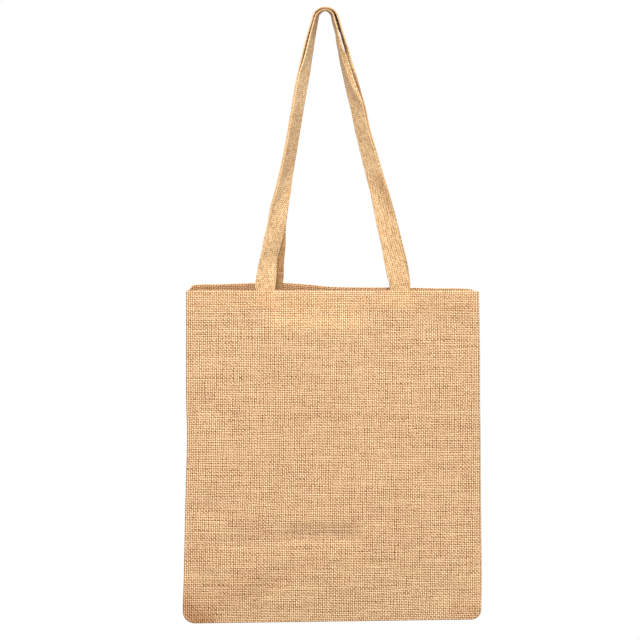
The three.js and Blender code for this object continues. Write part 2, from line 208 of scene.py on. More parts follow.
# Jute yarn, spun from coarse bast fibre and left unbleached: dull golden straw, each yarn of its
# own tone, hairy and matt. Hessian is an open plain weave, so small dark holes show between its
# yarns, and webbing a close one without holes.
jute = {
    "finish": {"Roughness": 0.9, "IOR": 1.5, "Specular IOR Level": 0.2, "Sheen Weight": 0.08,
               "Sheen Roughness": 0.5},
    "fibre": 1.0,            # grain of the fibres. Real ones are finer than show from this far, so
                             # they are drawn as coarse as this, and down to a quarter of it.
    "warpStep": 7.31,        # from one yarn to the next in the noise, so that no two are alike
    "weftStep": 5.77,
    "paintedTint": (1.0, 1.4, 1.7),   # share of red, green and blue in the painted light and shade: painted shade is browner as well
}
hessianWeave = {
    "warpPitch": 2.262,      # 11.2 warps to the inch
    "weftPitch": 2.117,      # 12 wefts to the inch
    "warpHalf": 0.355,       # half of a yarn's width, as a share of the pitch
    "weftHalf": 0.34,
    "uneven": 0.35,          # how much that changes along a yarn, as a share of itself
    "warpCrimp": 0.65,       # half of how far a yarn dips from its crown, as a share of its height
    "weftCrimp": 0.35,
    "weftCrown": 0.51,       # height of a weft's crown, as a share of a warp's
    "slant": 0.5,            # how far the twist slants a crown, in pitches along for each across
    "streaks": 42,           # yarns over which the tone of one yarn changes
    "slubs": 2.5,            # yarns over which its width does
    "toneShare": 0.34,       # how much that tone shows, against a yarn's full height
    "floatShare": 0.1,       # and the tone of each single float
    "fibreShare": 0.2,       # and the fibres'
    "backed": 0.12,          # level in a hole, and nearly twice that where the cloth is double
    # painted shade: the ramp darkens the yarns where they dip, and paints each hole the dark brown of
    # the shaded inside of the bag
    "levels": (              # height and colour, from the bottom of a hole to a warp's crown
        (0.0, "#2A0E00"), (0.16, "#4A1E00"), (0.28, "#8F5308"), (0.38, "#D1AF81"), (1.0, "#DEC3AA"),
    ),
    "bump": 0.35,            # depth of the bump that rounds the yarns
    "bumpStrength": 0.35,
}
webbingWeave = {
    "warpPitch": 1.25,       # twenty warps across the webbing
    "weftPitch": 2.55,
    "warpHalf": 0.50,
    "weftHalf": 0.50,
    "uneven": 0.3,
    "warpCrimp": 0.5,
    "weftCrimp": 0.45,
    "weftCrown": 0.55,
    "slant": 0.5,
    "streaks": 24,
    "slubs": 4,
    "toneShare": 0.3,
    "floatShare": 0.34,
    "fibreShare": 0.2,
    "backed": 0.3,
    # painted shade: the ramp darkens the yarns where they dip between crossings
    "levels": ((0.0, "#4A2C12"), (0.25, "#8C5F33"), (0.5, "#BA976D"), (1.0, "#D2BC97")),
    "bump": 0.35,
    "bumpStrength": 0.5,
}


def juteMaterial(title, weave, seed):
    # the same weave as in weaveHeight, worked out at each point from u and v, with its own noise.
    # The height picks the colour, which is painted shade in the dips and holes.
    material, tree = emptyMaterial(title)
    threads = addNode(tree, "UVMap", uv_map="Threads").outputs["UV"]
    place = addNode(tree, "SeparateXYZ", {0: threads})
    known = {"u": place.outputs["X"], "v": place.outputs["Y"]}
    for axis, (yarn, across, along) in enumerate((("warp", "u", "v"), ("weft", "v", "u"))):
        half, crimp, crown = weave[yarn + "Half"], weave[yarn + "Crimp"], weave.get(yarn + "Crown", 1)
        steps = [
            (yarn, "ROUND", across), ("own", "MULTIPLY", yarn, jute[yarn + "Step"]),
            ("run", "DIVIDE", along, weave["streaks"]), ("bit", "DIVIDE", along, weave["slubs"]),
        ]
        for result, operation, *inputs in steps:
            known[result] = addNode(tree, "Math", {k: known.get(v, v) for k, v in enumerate(inputs)},
                                    operation=operation).outputs[0]
        # tone of each yarn, which changes slowly along it, and its width, which changes fast
        for result, run in ((yarn + "Tone", "run"), ("bulk", "bit")):
            at = addNode(tree, "CombineXYZ", {axis: known["own"], 1 - axis: known[run], 2: seed})
            noise = addNode(tree, "TexNoise", {"Vector": at.outputs[0], "Scale": 1.0, "Detail": 3.0,
                                               "Roughness": 0.6}, noise_dimensions="3D")
            known[result] = noise.outputs[0]
        up = 1 - 2 * axis        # a weft is down where a warp is up
        steps = [
            ("from", "SUBTRACT", across, yarn),
            ("wide", "MULTIPLY_ADD", "bulk", half * weave["uneven"], half * (1 - weave["uneven"] / 2)),
            ("share", "DIVIDE", "from", "wide"), ("square", "MULTIPLY", "share", "share"),
            ("left", "SUBTRACT", 1.0, "square"), ("kept", "MAXIMUM", "left", 0.0),
            ("ridge", "SQRT", "kept"), ("even", "ADD", along, yarn),
            ("phase", "MULTIPLY_ADD", "from", -weave["slant"], "even"),
            ("angle", "MULTIPLY", "phase", np.pi), ("wave", "COSINE", "angle"),
            ("rise", "MULTIPLY_ADD", "wave", up * crimp * crown, (1 - crimp) * crown),
            (yarn + "Height", "MULTIPLY", "ridge", "rise"),
        ]
        for result, operation, *inputs in steps:
            known[result] = addNode(tree, "Math", {k: known.get(v, v) for k, v in enumerate(inputs)},
                                    operation=operation).outputs[0]
    for result, operation in (("height", "MAXIMUM"), ("warpOnTop", "GREATER_THAN")):
        known[result] = addNode(tree, "Math", {0: known["warpHeight"], 1: known["weftHeight"]},
                                operation=operation).outputs[0]
    tone = addNode(tree, "Mix", {0: known["warpOnTop"], 2: known["weftTone"], 3: known["warpTone"]})
    number = addNode(tree, "CombineXYZ", {0: known["warp"], 1: known["weft"], 2: seed})
    single = addNode(tree, "TexWhiteNoise", {"Vector": number.outputs[0]})
    fibre = addNode(tree, "TexNoise", {"Vector": addNode(tree, "TexCoord").outputs["Object"],
                                       "Scale": 1 / (jute["fibre"] * toMetres), "Detail": 2.0})
    known |= {"tone": tone.outputs[0], "float": single.outputs[0], "fibre": fibre.outputs[0]}
    # the backing that fills the holes, and the painted light and shade
    for name in ("backing", "marks"):
        known[name] = addNode(tree, "Attribute", attribute_name=name).outputs["Fac"]
    shares = weave["toneShare"], weave["floatShare"], weave["fibreShare"]
    steps = [
        ("evened", "SUBTRACT", "height", sum(shares) / 2),
        ("toned", "MULTIPLY_ADD", "tone", shares[0], "evened"),
        ("floated", "MULTIPLY_ADD", "float", shares[1], "toned"),
        ("haired", "MULTIPLY_ADD", "fibre", shares[2], "floated"),
        ("behind", "MULTIPLY", "backing", weave["backed"]),
        ("level", "MAXIMUM", "haired", "behind"),
    ]
    for result, operation, *inputs in steps:
        known[result] = addNode(tree, "Math", {k: known.get(v, v) for k, v in enumerate(inputs)},
                                operation=operation).outputs[0]
    colour = addNode(tree, "ValToRGB", {0: known["level"]})
    ramp = colour.color_ramp.elements
    for level, _ in weave["levels"][1:-1]:
        ramp.new(level)
    for stop, (level, code) in zip(ramp, weave["levels"]):
        stop.position, stop.color = level, linearColour(code)
    # painted light and shade: the attribute makes the yarns' colour paler or darker, and browner where
    # darker
    paintedTint = addNode(tree, "VectorMath", {0: jute["paintedTint"], "Scale": known["marks"]},
                     operation="SCALE")
    shade = addNode(tree, "VectorMath", {0: paintedTint.outputs[0], 1: (1.0, 1.0, 1.0)}, operation="ADD")
    paintedShading = addNode(tree, "VectorMath", {0: colour.outputs[0], 1: shade.outputs[0]}, operation="MULTIPLY")
    rough = addNode(tree, "Math", {0: fibre.outputs[0], 1: 0.5, 2: known["height"]},
                    operation="MULTIPLY_ADD")
    bump = addNode(tree, "Bump", {"Strength": weave["bumpStrength"],
                                  "Distance": weave["bump"] * toMetres, "Height": rough.outputs[0]})
    shader = addNode(tree, "BsdfPrincipled", {**jute["finish"], "Base Color": paintedShading.outputs[0],
                                              "Normal": bump.outputs[0]})
    addNode(tree, "OutputMaterial", {"Surface": shader.outputs[0]})
    return material


print("stage: panels")
bag = {
    "cloth": 1.4,            # thickness of the hessian
    "mouthZ": -340.0,        # folded top edge of the front
    "drop": 402.0,           # from there to the bottom seam, in the flat cloth
    "bottomLeftZ": -745.5,   # height at which that seam hangs
    "bottomRightZ": -740.5,
    "leftCorner": 15.0,      # radius of the bottom corners
    "rightCorner": 12.0,
    "hemDepth": 24.0,        # cloth turned in at the mouth
    "hemRadius": 0.95,       # of its fold, at mid thickness
    "hemInset": 6.0,         # the turned-in hem stops this far from the side seams
    "seamAllowance": 9.0,    # cloth turned in along the side and bottom seams
    "seamRadius": 1.3,       # of the turned edge, at mid thickness
    "allowanceStops": 2.0,   # and the allowance this far below the hem
    "mouthReach": 150.0,     # depth over which the open mouth eases into the belly
    "foldMargin": 25.0,      # the folds die away over this much beside the seams
    "clearance": 0.3,
    "bendSteps": 4,          # faces round a turned edge
    "yarnGap": 0.4,          # least space from an edge to the nearest yarn, as a share of the pitch
    "wander": 0.15,          # how far a yarn strays from its place, as a share of the pitch
    "wanderReach": 9,        # yarns over which it does
    "wanderMargin": 9.0,     # beside an edge, where it comes back to its place
    "shift": 0.2,            # how far the whole weave strays
    "shiftReach": 24,
    "lift": 0.6,             # height of the yarns
    "faceLevel": 0.4,        # share of it that lies below the face of the cloth
    "liftMargin": 3.0,       # beside an edge, where the yarns flatten
    "crownUneven": 0.35,     # how much the crowns' height changes along a yarn
    "crownReach": 3,         # yarns over which it does
    "pit": 0.75,             # depth of a hole below the crowns
    "hemBacking": 0.7,       # layers behind the face that fill its holes, at the hem
    "footBacking": 0.25,     # and at the foot of a strap
    "backingBlur": 1.0,      # either side of their edges
    "paintedLightFill": 8.0,            # and in a patch of painted light, for each unit of its paleness
    "paintedFoldHighlight": 0.06,       # painted highlight along the fold of the mouth
    "foldReach": 1.5,
    "paintedInsideShade": 0.24,   # painted shade past the fold, inside the mouth
    "insideFrom": (-4, -2),  # from here to here, counted from where the fold begins
}
sideEdges = {                # x of the side seams, by their distance below the mouth
    "below": (0, 80, 130, 177, 230, 275, 348, 383, 402),
    "left": (-169, -169, -169, -167.8, -169.2, -170.3, -171.9, -173, -173.3),
    "right": (187.2, 188.4, 188.5, 189.1, 189.4, 189.8, 190.5, 190.2, 189.8),
}
mouthLine = {                # how far each panel stands open, and how much higher the back's edge is
    "x": (-169, -160, -130, -100, -55, -20, 5, 30, 90, 135, 168, 187.2),
    "front": (0, 2.6, 6.1, 8.1, 9.7, 10.5, 10.4, 10, 8, 5.5, 2.6, 0),
    "back": (0, 3, 7, 9, 10.4, 11, 10.7, 10, 7.5, 5.4, 2.6, 0),
    "rise": (0, 6.2, 7.3, 8.3, 9, 6.9, 4.4, 3.6, 3.3, 2.3, 2, 0),
}
belly = {                    # how far the middle of each panel stands out, by the same distance
    "below": (0, 90, 200, 300, 360, 402),
    "front": (8, 13, 15, 12, 8, 0),
    "back": (8, 11, 13, 11, 7, 0),
}
frontFolds = [               # from x, z, to x, z, height and reach of each soft fold
    (-113, -648, -54, -644, -2.2, 14), (-34, -640, 30, -639, -4, 12),
    (-30, -625, 24, -624, 1.4, 14),
    (-77, -706, -30, -672, -1.6, 14),
    (-60, -378, 45, -380, 2.2, 22), (146, -372, 172, -376, -1.5, 14),
    (-165, -478, -140, -484, -1.8, 13), (-168, -600, -140, -606, -2, 14),
    (-170, -735, -138, -704, -2, 16), (188, -735, 150, -708, -2.2, 16),
]
marks = {                    # the same for painted light and shade: paler where cloth catches light, darker in folds, corners and strap shadows
    "front": [
        (-55, -376, 36, -379, 0.13, 16), (118, -360, 170, -364, -0.06, 9),
        (-140, -420, -75, -404, 0.045, 22), (-50, -455, 5, -470, -0.035, 22),
        (-166, -470, -152, -474, -0.05, 12), (-152, -500, -135, -502, 0.04, 16),
        (-166, -530, -158, -536, -0.07, 11), (-166, -600, -155, -602, -0.06, 9),
        (-168, -662, -150, -664, -0.06, 11), (-104, -630, -62, -633, -0.04, 8),
        (-30, -624, 34, -622, -0.06, 7), (-61, -697, -30, -679, -0.07, 9),
        (-125, -712, -90, -700, -0.08, 22), (-176, -718, -154, -742, -0.24, 18),
        (-176, -742, -140, -742, -0.08, 10), (188, -738, 160, -728, -0.13, 12),
        (-60, -725, 150, -722, 0.05, 20), (-72, -352, -66, -352, 0.03, 12),
        (84, -352, 92, -352, 0.03, 12), (112, -520, 114, -570, 0.03, 10),
        (50, -632, 72, -622, 0.06, 9),
    ],
    "back": [
        (-176, -716, -160, -742, -0.14, 15), (188, -738, 160, -728, -0.12, 14),
        (-20, -560, 40, -556, 0.04, 40),
    ],
    "front strap": [
        (-17, -40, -30, -110, 0.18, 14), (-52, -212, -50, -236, 0.1, 12),
        (66, -205, 85, -243, -0.2, 7), (-12, 1, 12, 1, -0.18, 8),
        (91, -345, 80, -268, -0.05, 14),
    ],
    "back strap": [
        (-56, -345, -53, -280, -0.3, 12), (-12, 1, 12, 1, -0.18, 8), (40, -80, 47, -128, -0.3, 5),
    ],
}
strap = {
    "width": 25.0, "thick": 1.8,
    "tack": 22.0,            # of each end, sewn to the inside of the hem
    "archRadius": 8.0,       # inside the arch
    "settle": 40.0,          # above the mouth, where a strap has left the panel's curve
    "apartAtMouth": 15.0,    # between the middles of the front strap and the back one
    "offHem": 1.2,           # from a strap's foot to the hem, as a share of the clearance
    "skewRange": (30, 80, 150, 300),     # heights over which the skew comes and goes
    "curlEdge": (-8, -3),    # the near edge curls forward, from here to here across the strap
    "curlTaper": 0.18,       # and over less of it lower down, by this for each mm
    "curled": {"front": 1.0, "back": 0.6},   # how much each strap follows the leg's curl
    "lift": 0.3,             # height of the yarns
    "faceLevel": 0.5,        # share of it that lies below the face of the strap
    "crownUneven": 0.3,      # how much the crowns' height changes
    "crownReach": (3, 4),    # yarns over which it does, along the strap and across
    "edge": 0.5,             # thickness at the selvedge, as a share of the strap's
    "paintedEdgeHighlight": 1.8,         # backing at the selvedge, which fills the dark dots there: a painted highlight along the edges
}
# "foot" is the x of a strap's middle at the mouth, "bend" the height over which the leg comes to
# lean, "skew" how much lower the turn is at one edge than at the other, for each mm across, and
# "curlNarrows" the height below which less of the edge is curled. The tables run up from the mouth.
# "turn" is the strap's angle about the upright in degrees, and "curl" what its near edge adds to
# that. "open" says how far the front and back straps are apart, from 0 for as on the arch to 1 for
# as at the mouth. "front" and "back" say how far each strap's inner edge lies to the right of the
# leg's path.
leftLeg = {
    "side": -1, "foot": -68.3, "skew": 2.0, "bend": 56.0, "curlNarrows": 262,
    "up": (0, 18, 36, 54, 77, 103, 122, 141, 170, 219, 243, 262, 280, 304, 328, 345, 357),
    "turn": (90, 74.8, 58.3, 57.5, 64.6, 58.1, 43.2, 36.1, 32.7,
             30.9, 31.6, 30.1, 21.8, 15.4, 9.5, 3.1, 0),
    "open": (1, 0.88, 0.58, 0.52, 0.24, 0.1, 0.06, 0.08, 0.09,
             0.11, 0.07, 0.09, 0.17, 0.18, 0.09, 0.03, 0),
    "front": (-4.6, -5.4, -6.9, -4.8, -1.5, -0.8, -0.7, -1.6, -1.4,
              -1.1, -0.3, 0.1, -0.6, -0.8, 0, 0.8, 0),
    "back": (3.5, 6.9, 6.5, 6, 2.1, 0.6, 0.1, -0.5, -0.2, 0.3, 0.5, 1.2, 0.1, 0, 0.5, 0, 0),
    "curl": (0,) * 17,
}
rightLeg = {
    "side": 1, "foot": 91.5, "skew": 1.5, "bend": 13.0, "curlNarrows": 262,
    "up": (0, 28, 55, 83, 110, 140, 170, 195, 219, 237, 262, 280, 292, 304, 312, 318, 328, 345, 357),
    "turn": (90, 89.9, 85.8, 78.9, 64.5, 50.7, 45.1, 38.7, 39,
             27.9, 13.9, 9, 3.9, 4.3, 4, 7.3, 7, 4.2, 0),
    "open": (1, 0.74, 0.43, 0.18, 0.11, 0.06, 0.02, 0.02, 0.2,
             0.26, 0.02, 0.03, 0.29, 0.33, 0.29, 0.23, 0.14, 0.02, 0),
    "front": (-0.3, -1, 0, -0.3, 0.7, 0.2, -0.8, -1.4, -0.1,
              -0.3, -1.6, -1.6, 0.8, 1.3, 1.9, 1.2, 0.1, -0.4, 0),
    "back": (-0.4, 1.9, 0.7, -0.4, -0.4, -0.4, -0.7, -1, -1.5,
             0.1, 2.6, 2.7, 3.3, 2.1, 2.1, 1.2, 1.2, 0.1, 0),
    "curl": (0, 0, 0, 0, 0, 0, 0, 0, 51, 50, 48, 48, 32, 20, 8, 0, -2, 0, 0),
}
panelWidth = sideEdges["right"][0] - sideEdges["left"][0]
allowanceDepth = (bag["clearance"] + bag["cloth"]) / 2
seamDepth = allowanceDepth + 2 * bag["seamRadius"]
edgeInset = bag["cloth"] / 2 + bag["seamRadius"]
topInset = bag["cloth"] / 2 + bag["hemRadius"]


def hang(panel, across, down):
    # flat place on the panel to x and z: across runs between the side edges, down between the
    # mouth and the bottom
    x = lerp(curve(sideEdges, "below", "left", down), curve(sideEdges, "below", "right", down),
             across / panelWidth)
    rise = curve(mouthLine, "x", "rise", x) if panel == "back" else 0
    bottom = lerp(bag["bottomLeftZ"], bag["bottomRightZ"], across / panelWidth)
    return x, lerp(bag["mouthZ"] + rise, bottom, down / bag["drop"])


def softLines(lines, x, z):
    # each line adds its height times exp(-(distance to it / reach)^2)
    height = 0
    for x0, z0, x1, z1, tall, reach in lines:
        length2 = (x1 - x0) ** 2 + (z1 - z0) ** 2
        t = np.clip(((x - x0) * (x1 - x0) + (z - z0) * (z1 - z0)) / length2, 0, 1)
        far2 = (x - lerp(x0, x1, t)) ** 2 + (z - lerp(z0, z1, t)) ** 2
        height = height + tall * np.exp(-far2 / reach ** 2)
    return height


def standOff(panel, across, down):
    # distance from the seams' plane: the open mouth eases into the belly, which falls off towards
    # the sides as one less the cube of the way from the middle, and the folds are added
    x, z = hang(panel, across, down)
    fromMiddle = np.abs(2 * across / panelWidth - 1)
    bulge = curve(belly, "below", panel, down) * (1 - fromMiddle ** 3)
    below = smoothstep(down, bag["hemDepth"], bag["mouthReach"])
    stand = lerp(curve(mouthLine, "x", panel, x), bulge, below)
    if panel == "front":
        fromSeam = np.minimum(np.minimum(across, panelWidth - across), bag["drop"] - down)
        free = smoothstep(fromSeam - edgeInset, 0, bag["foldMargin"])
        free = free * smoothstep(down, bag["hemDepth"], bag["hemDepth"] + bag["foldMargin"])
        stand = stand + softLines(frontFolds, x, z) * free
    return seamDepth + np.maximum(stand, 0)


def panelPoints(panel, across, down, depth):
    # x, y and z of flat places, at a depth from the seams' plane
    x, z = hang(panel, across, down)
    depth = depth + 0 * x
    return np.stack([x, -depth if panel == "front" else depth, z], -1)


def roundCorners(across, down):
    # the square at a bottom corner is drawn in to a quarter of a disc: a and b run from 0 to 1 over
    # it, and each is shortened by the root of one less half of the other's square
    atLeft = across < panelWidth / 2
    radius = np.where(atLeft, bag["leftCorner"], bag["rightCorner"]) - edgeInset
    fromSide = np.where(atLeft, across, panelWidth - across) - edgeInset
    a = np.clip(1 - fromSide / radius, 0, 1)
    b = np.clip(1 - (bag["drop"] - edgeInset - down) / radius, 0, 1)
    inward = radius * a * (1 - np.sqrt(1 - b * b / 2))
    upward = radius * b * (1 - np.sqrt(1 - a * a / 2))
    return across + np.where(atLeft, inward, -inward), down - upward


def footAcross(leg, panel):
    # middle of a strap's foot, from the left edge of its panel
    return leg["foot"] + leg[panel][0] - sideEdges["left"][0]


def yarnLines(first, last, pitch):
    # the places of the yarns between two edges, at whole numbers of the pitch, with the edges
    # themselves
    numbers = np.arange(np.ceil(first / pitch + bag["yarnGap"]),
                        np.floor(last / pitch - bag["yarnGap"]) + 1)
    return np.concatenate([[first], numbers * pitch, [last]])


def clothGrid(panel, across, down, depth, flatAcross=None, flatDown=None, keep=None):
    # one grid of a panel; its threads are counted in the flat cloth
    flatAcross = across if flatAcross is None else flatAcross
    flatDown = down if flatDown is None else flatDown
    threads = np.stack([flatAcross / hessianWeave["warpPitch"],
                        flatDown / hessianWeave["weftPitch"]], -1)
    blur = bag["backingBlur"]
    hem = 1 - smoothstep(flatDown, bag["hemDepth"] - blur, bag["hemDepth"] + blur)
    layers = 1 + bag["hemBacking"] * hem
    for leg in (leftLeg, rightLeg):
        far = np.abs(flatAcross - footAcross(leg, panel)) - strap["width"] / 2
        layers = layers + bag["footBacking"] * smoothstep(-far, -blur, blur) * (flatDown < strap["tack"])
    # painted light and shade: in a patch painted pale the holes are filled, more than the yarns are
    # paler.
    # A painted highlight runs along the fold of the mouth, and past it painted shade makes the inside
    # browner.
    paintedShading = softLines(marks[panel], *hang(panel, across, down))
    layers = layers + bag["paintedLightFill"] * np.maximum(paintedShading, 0)
    paintedShading = np.minimum(paintedShading, paintedShading / 2)
    paintedShading = paintedShading + bag["paintedFoldHighlight"] * np.exp(-((flatDown - topInset) / bag["foldReach"]) ** 2)
    inside = 1 - smoothstep(flatDown, *(topInset + past for past in bag["insideFrom"]))
    paintedShading = paintedShading - bag["paintedInsideShade"] * inside
    grid = {
        "points": panelPoints(panel, across, down, depth), "threads": threads,
        "lift": np.zeros(across.shape), "under": np.zeros(across.shape), "backing": layers,
        "marks": paintedShading,
    }
    if keep is not None:
        grid["keep"] = keep
    return grid


def panelPiece(name, panel, material, seed):
    # a panel is its face, on the grid of its yarns, its hem and its turned-in edge
    random = np.random.default_rng(seed)
    warpPitch, weftPitch = hessianWeave["warpPitch"], hessianWeave["weftPitch"]
    down, across = np.meshgrid(yarnLines(topInset, bag["drop"] - edgeInset, weftPitch),
                               yarnLines(edgeInset, panelWidth - edgeInset, warpPitch), indexing="ij")
    rows, columns = across.shape
    flatAcross, flatDown = roundCorners(across, down)
    face = clothGrid(panel, flatAcross, flatDown, standOff(panel, flatAcross, flatDown))
    # the yarns stray a little, but not at the edges; each crossing keeps its yarns' numbers
    fromEdge = np.minimum(np.minimum(across, panelWidth - across) - edgeInset,
                          np.minimum(down - topInset, bag["drop"] - edgeInset - down))
    free, raised = (smoothstep(fromEdge, 0, bag[margin]) for margin in ("wanderMargin", "liftMargin"))
    reach = bag["wanderReach"]
    stray = bag["wander"] * np.array([wander(random, columns, rows, reach).T,
                                      wander(random, rows, columns, reach)])
    stray = stray + bag["shift"] * np.array([weaveShift(random, rows, columns, bag["shiftReach"])
                                             for k in range(2)])
    strayAcross, strayDown = stray[0] * free * warpPitch, stray[1] * free * weftPitch
    movedAcross, movedDown = flatAcross + strayAcross, flatDown + strayDown
    face["points"] = panelPoints(panel, movedAcross, movedDown, standOff(panel, movedAcross, movedDown))
    uneven, reach = bag["crownUneven"], bag["crownReach"]
    crown = raised * (1 + uneven * wander(random, columns, rows, reach).T
                      + uneven * wander(random, rows, columns, reach))
    u, v = face["threads"][..., 0], face["threads"][..., 1]
    height = weaveHeight(u, v, hessianWeave) - bag["faceLevel"]
    face["lift"] = bag["lift"] * height * np.clip(crown, 0, 2)
    face["pits"] = bag["pit"] * (raised[1:, 1:] + raised[:-1, :-1]) / 2
    grids = [face]

    # hem: from its edge up the inside, over the fold and down to the face
    columns = (across[0] >= bag["hemInset"]) & (across[0] <= panelWidth - bag["hemInset"])
    hemAcross = across[0][columns]
    leaf = np.append(np.arange(bag["hemDepth"], topInset + 1, -2 * weftPitch), topInset)
    fold = np.linspace(np.pi, 0, bag["bendSteps"] + 1)[1:]
    hemDown = np.concatenate([leaf, topInset - bag["hemRadius"] * np.sin(fold)])
    inside = np.concatenate([np.full(len(leaf), 2.0), 1 - np.cos(fold)]) * bag["hemRadius"]
    turned = np.concatenate([2 * topInset - np.pi * bag["hemRadius"] - leaf,
                             topInset - bag["hemRadius"] * fold])
    hemDown, gridAcross = np.meshgrid(hemDown, hemAcross, indexing="ij")
    inside, turned = (np.broadcast_to(value[:, None], hemDown.shape) for value in (inside, turned))
    follow = standOff(panel, gridAcross, np.maximum(hemDown, topInset)) - inside
    grids.append(clothGrid(panel, gridAcross, hemDown, follow, flatDown=turned))

    # the edge that turns in at the side and bottom seams
    edgeAcross = np.concatenate([flatAcross[:, 0], flatAcross[-1, 1:-1], flatAcross[::-1, -1]])
    edgeDown = np.concatenate([flatDown[:, 0], flatDown[-1, 1:-1], flatDown[::-1, -1]])
    radius = np.where(edgeAcross < panelWidth / 2, bag["leftCorner"], bag["rightCorner"])
    inAcross = np.clip(edgeAcross, bag["leftCorner"], panelWidth - bag["rightCorner"]) - edgeAcross
    inDown = np.minimum(edgeDown, bag["drop"] - radius) - edgeDown
    length = np.hypot(inAcross, inDown)
    inAcross, inDown = inAcross / length, inDown / length
    curl = np.linspace(np.pi, 0, bag["bendSteps"] + 1)
    turnedIn = bag["seamAllowance"] * np.array([1, 0.5])
    shift = np.concatenate([turnedIn, -bag["seamRadius"] * np.sin(curl)])
    depth = np.concatenate([np.full(len(turnedIn), allowanceDepth),
                            allowanceDepth + bag["seamRadius"] * (1 + np.cos(curl))])
    run = np.concatenate([-np.pi * bag["seamRadius"] - turnedIn, -bag["seamRadius"] * curl])
    gridAcross = edgeAcross[:, None] + inAcross[:, None] * shift
    gridDown = edgeDown[:, None] + inDown[:, None] * shift
    depth = np.broadcast_to(depth, gridAcross.shape).copy()
    depth[:, -1] = standOff(panel, edgeAcross, edgeDown)
    underHem = np.maximum(edgeDown[:-1], edgeDown[1:]) < bag["hemDepth"] + bag["allowanceStops"]
    keep = np.ones((len(edgeDown) - 1, len(shift) - 1), bool)
    keep[underHem, :len(turnedIn)] = False
    runAcross, runDown = (edge[:, None] + way[:, None] * run
                          for edge, way in ((edgeAcross, inAcross), (edgeDown, inDown)))
    grids.append(clothGrid(panel, gridAcross, gridDown, depth, runAcross, runDown, keep=keep))

    return clothMesh(name, grids, bag["cloth"], material, ["backing", "marks"], flip=panel == "back")


frontHessian = juteMaterial("natural jute hessian, front", hessianWeave, seed=3.1)
backHessian = juteMaterial("natural jute hessian, back", hessianWeave, seed=8.6)
frontPanel = panelPiece("front_hessian", "front", frontHessian, seed=11)
backPanel = panelPiece("back_hessian", "back", backHessian, seed=12)

print("stage: handles")
apartOnArch = strap["thick"] + bag["clearance"]
pathRadius = strap["archRadius"] + strap["thick"] + bag["clearance"] / 2
archZ = -strap["archRadius"]
onLeaf = 2 * bag["hemRadius"] + bag["cloth"] / 2         # inner face of the hem, inside the panel
strapDepth = onLeaf + strap["offHem"] * bag["clearance"] + strap["thick"] / 2


def legPath(leg, step):
    # height, place and direction at even steps from the foot to the crown. A leg's inner edge is
    # upright at its foot, leans as a parabola over its bend, and runs straight to the arch.
    inner = leg["foot"] - leg["side"] * strap["width"] / 2
    below = bag["mouthZ"] + leg["bend"] / 2 - archZ
    touch = np.arctan2(below, inner) + leg["side"] * np.arccos(pathRadius / np.hypot(inner, below))
    topX, topUp = pathRadius * np.cos(touch), archZ + pathRadius * np.sin(touch) - bag["mouthZ"]
    slope = (inner - topX) / (topUp - leg["bend"] / 2)
    up = np.linspace(-strap["tack"], topUp, round((topUp + strap["tack"]) / step) + 1)[:-1]
    drift = np.where(up < leg["bend"], np.maximum(up, 0) ** 2 / (2 * leg["bend"]), up - leg["bend"] / 2)
    lean = -slope * np.clip(up / leg["bend"], 0, 1)
    start = touch + 2 * np.pi if leg["side"] < 0 else touch
    angle = np.linspace(start, np.pi / 2, round(pathRadius * abs(start - np.pi / 2) / step) + 1)
    x = np.concatenate([inner - slope * drift, pathRadius * np.cos(angle)])
    z = np.concatenate([bag["mouthZ"] + up, archZ + pathRadius * np.sin(angle)])
    alongX = np.concatenate([lean, -leg["side"] * np.sin(angle)])
    alongZ = np.concatenate([np.ones(len(up)), leg["side"] * np.cos(angle)])
    up = np.concatenate([up, topUp + pathRadius * np.abs(angle - start)])
    along = np.stack([alongX, 0 * x, alongZ], -1)
    return up, np.stack([x, 0 * x, z], -1), along / np.linalg.norm(along, axis=1, keepdims=True)


def strapAxes(leg, along, turn):
    # across the strap, turned about the upright, and through it from the front one to the back
    angle = np.radians(turn)
    across = np.stack([-leg["side"] * np.sin(angle), np.cos(angle), 0 * angle], -1)
    across = across - along * (across * along).sum(-1, keepdims=True)
    across /= np.linalg.norm(across, axis=-1, keepdims=True)
    return across, np.cross(across, along) * leg["side"]


def legPoints(leg, panel, widths, step):
    # each point of a strap is reached from its middle by steps across, which turn with the strap,
    # and moved by half the straps' distance. Its inner edge stays beside the path, as far to the
    # right of it as the leg's table says.
    up, path, along = legPath(leg, step)
    side = -1 if panel == "front" else 1
    low, high = strap["skewRange"][:2], strap["skewRange"][2:]
    slant = leg["skew"] * smoothstep(up, *low) * (1 - smoothstep(up, *high))
    opened = curve(leg, "up", "open", up)[:, None]
    apart = lerp(apartOnArch, strap["apartAtMouth"], opened)
    between = (widths[1:] + widths[:-1]) / 2
    curl = curve(leg, "up", "curl", up)[:, None] * strap["curled"][panel]
    narrower = np.maximum(leg["curlNarrows"] - up[:, None], 0) * strap["curlTaper"]
    near, nearBetween = (1 - smoothstep(at + narrower, *strap["curlEdge"]) for at in (widths, between))
    turned = curve(leg, "up", "turn", up[:, None] - slant[:, None] * between) + curl * nearBetween
    across = strapAxes(leg, along[:, None], turned)[0]
    turned = curve(leg, "up", "turn", up[:, None] - slant[:, None] * widths) + curl * near
    through = strapAxes(leg, along[:, None], turned)[1]
    steps = np.cumsum(across * np.diff(widths)[:, None], axis=1)
    steps = np.concatenate([0 * steps[:, :1], steps], 1)
    middle = len(widths) - 1
    fromCentre = steps - (steps[:, [middle // 2]] + steps[:, [(middle + 1) // 2]]) / 2
    fromCentre[..., 0] -= fromCentre[:, -1:, 0]
    points = path[:, None] + fromCentre + through * (side * apart / 2)[..., None]
    points[..., 0] += curve(leg, "up", panel, up)[:, None]
    onHem = standOff(panel, points[..., 0] - sideEdges["left"][0], bag["hemDepth"] / 2)
    onHem = side * (onHem - strapDepth)
    points[..., 1] = lerp(onHem, points[..., 1], smoothstep(up, 0, strap["settle"])[:, None])
    return points


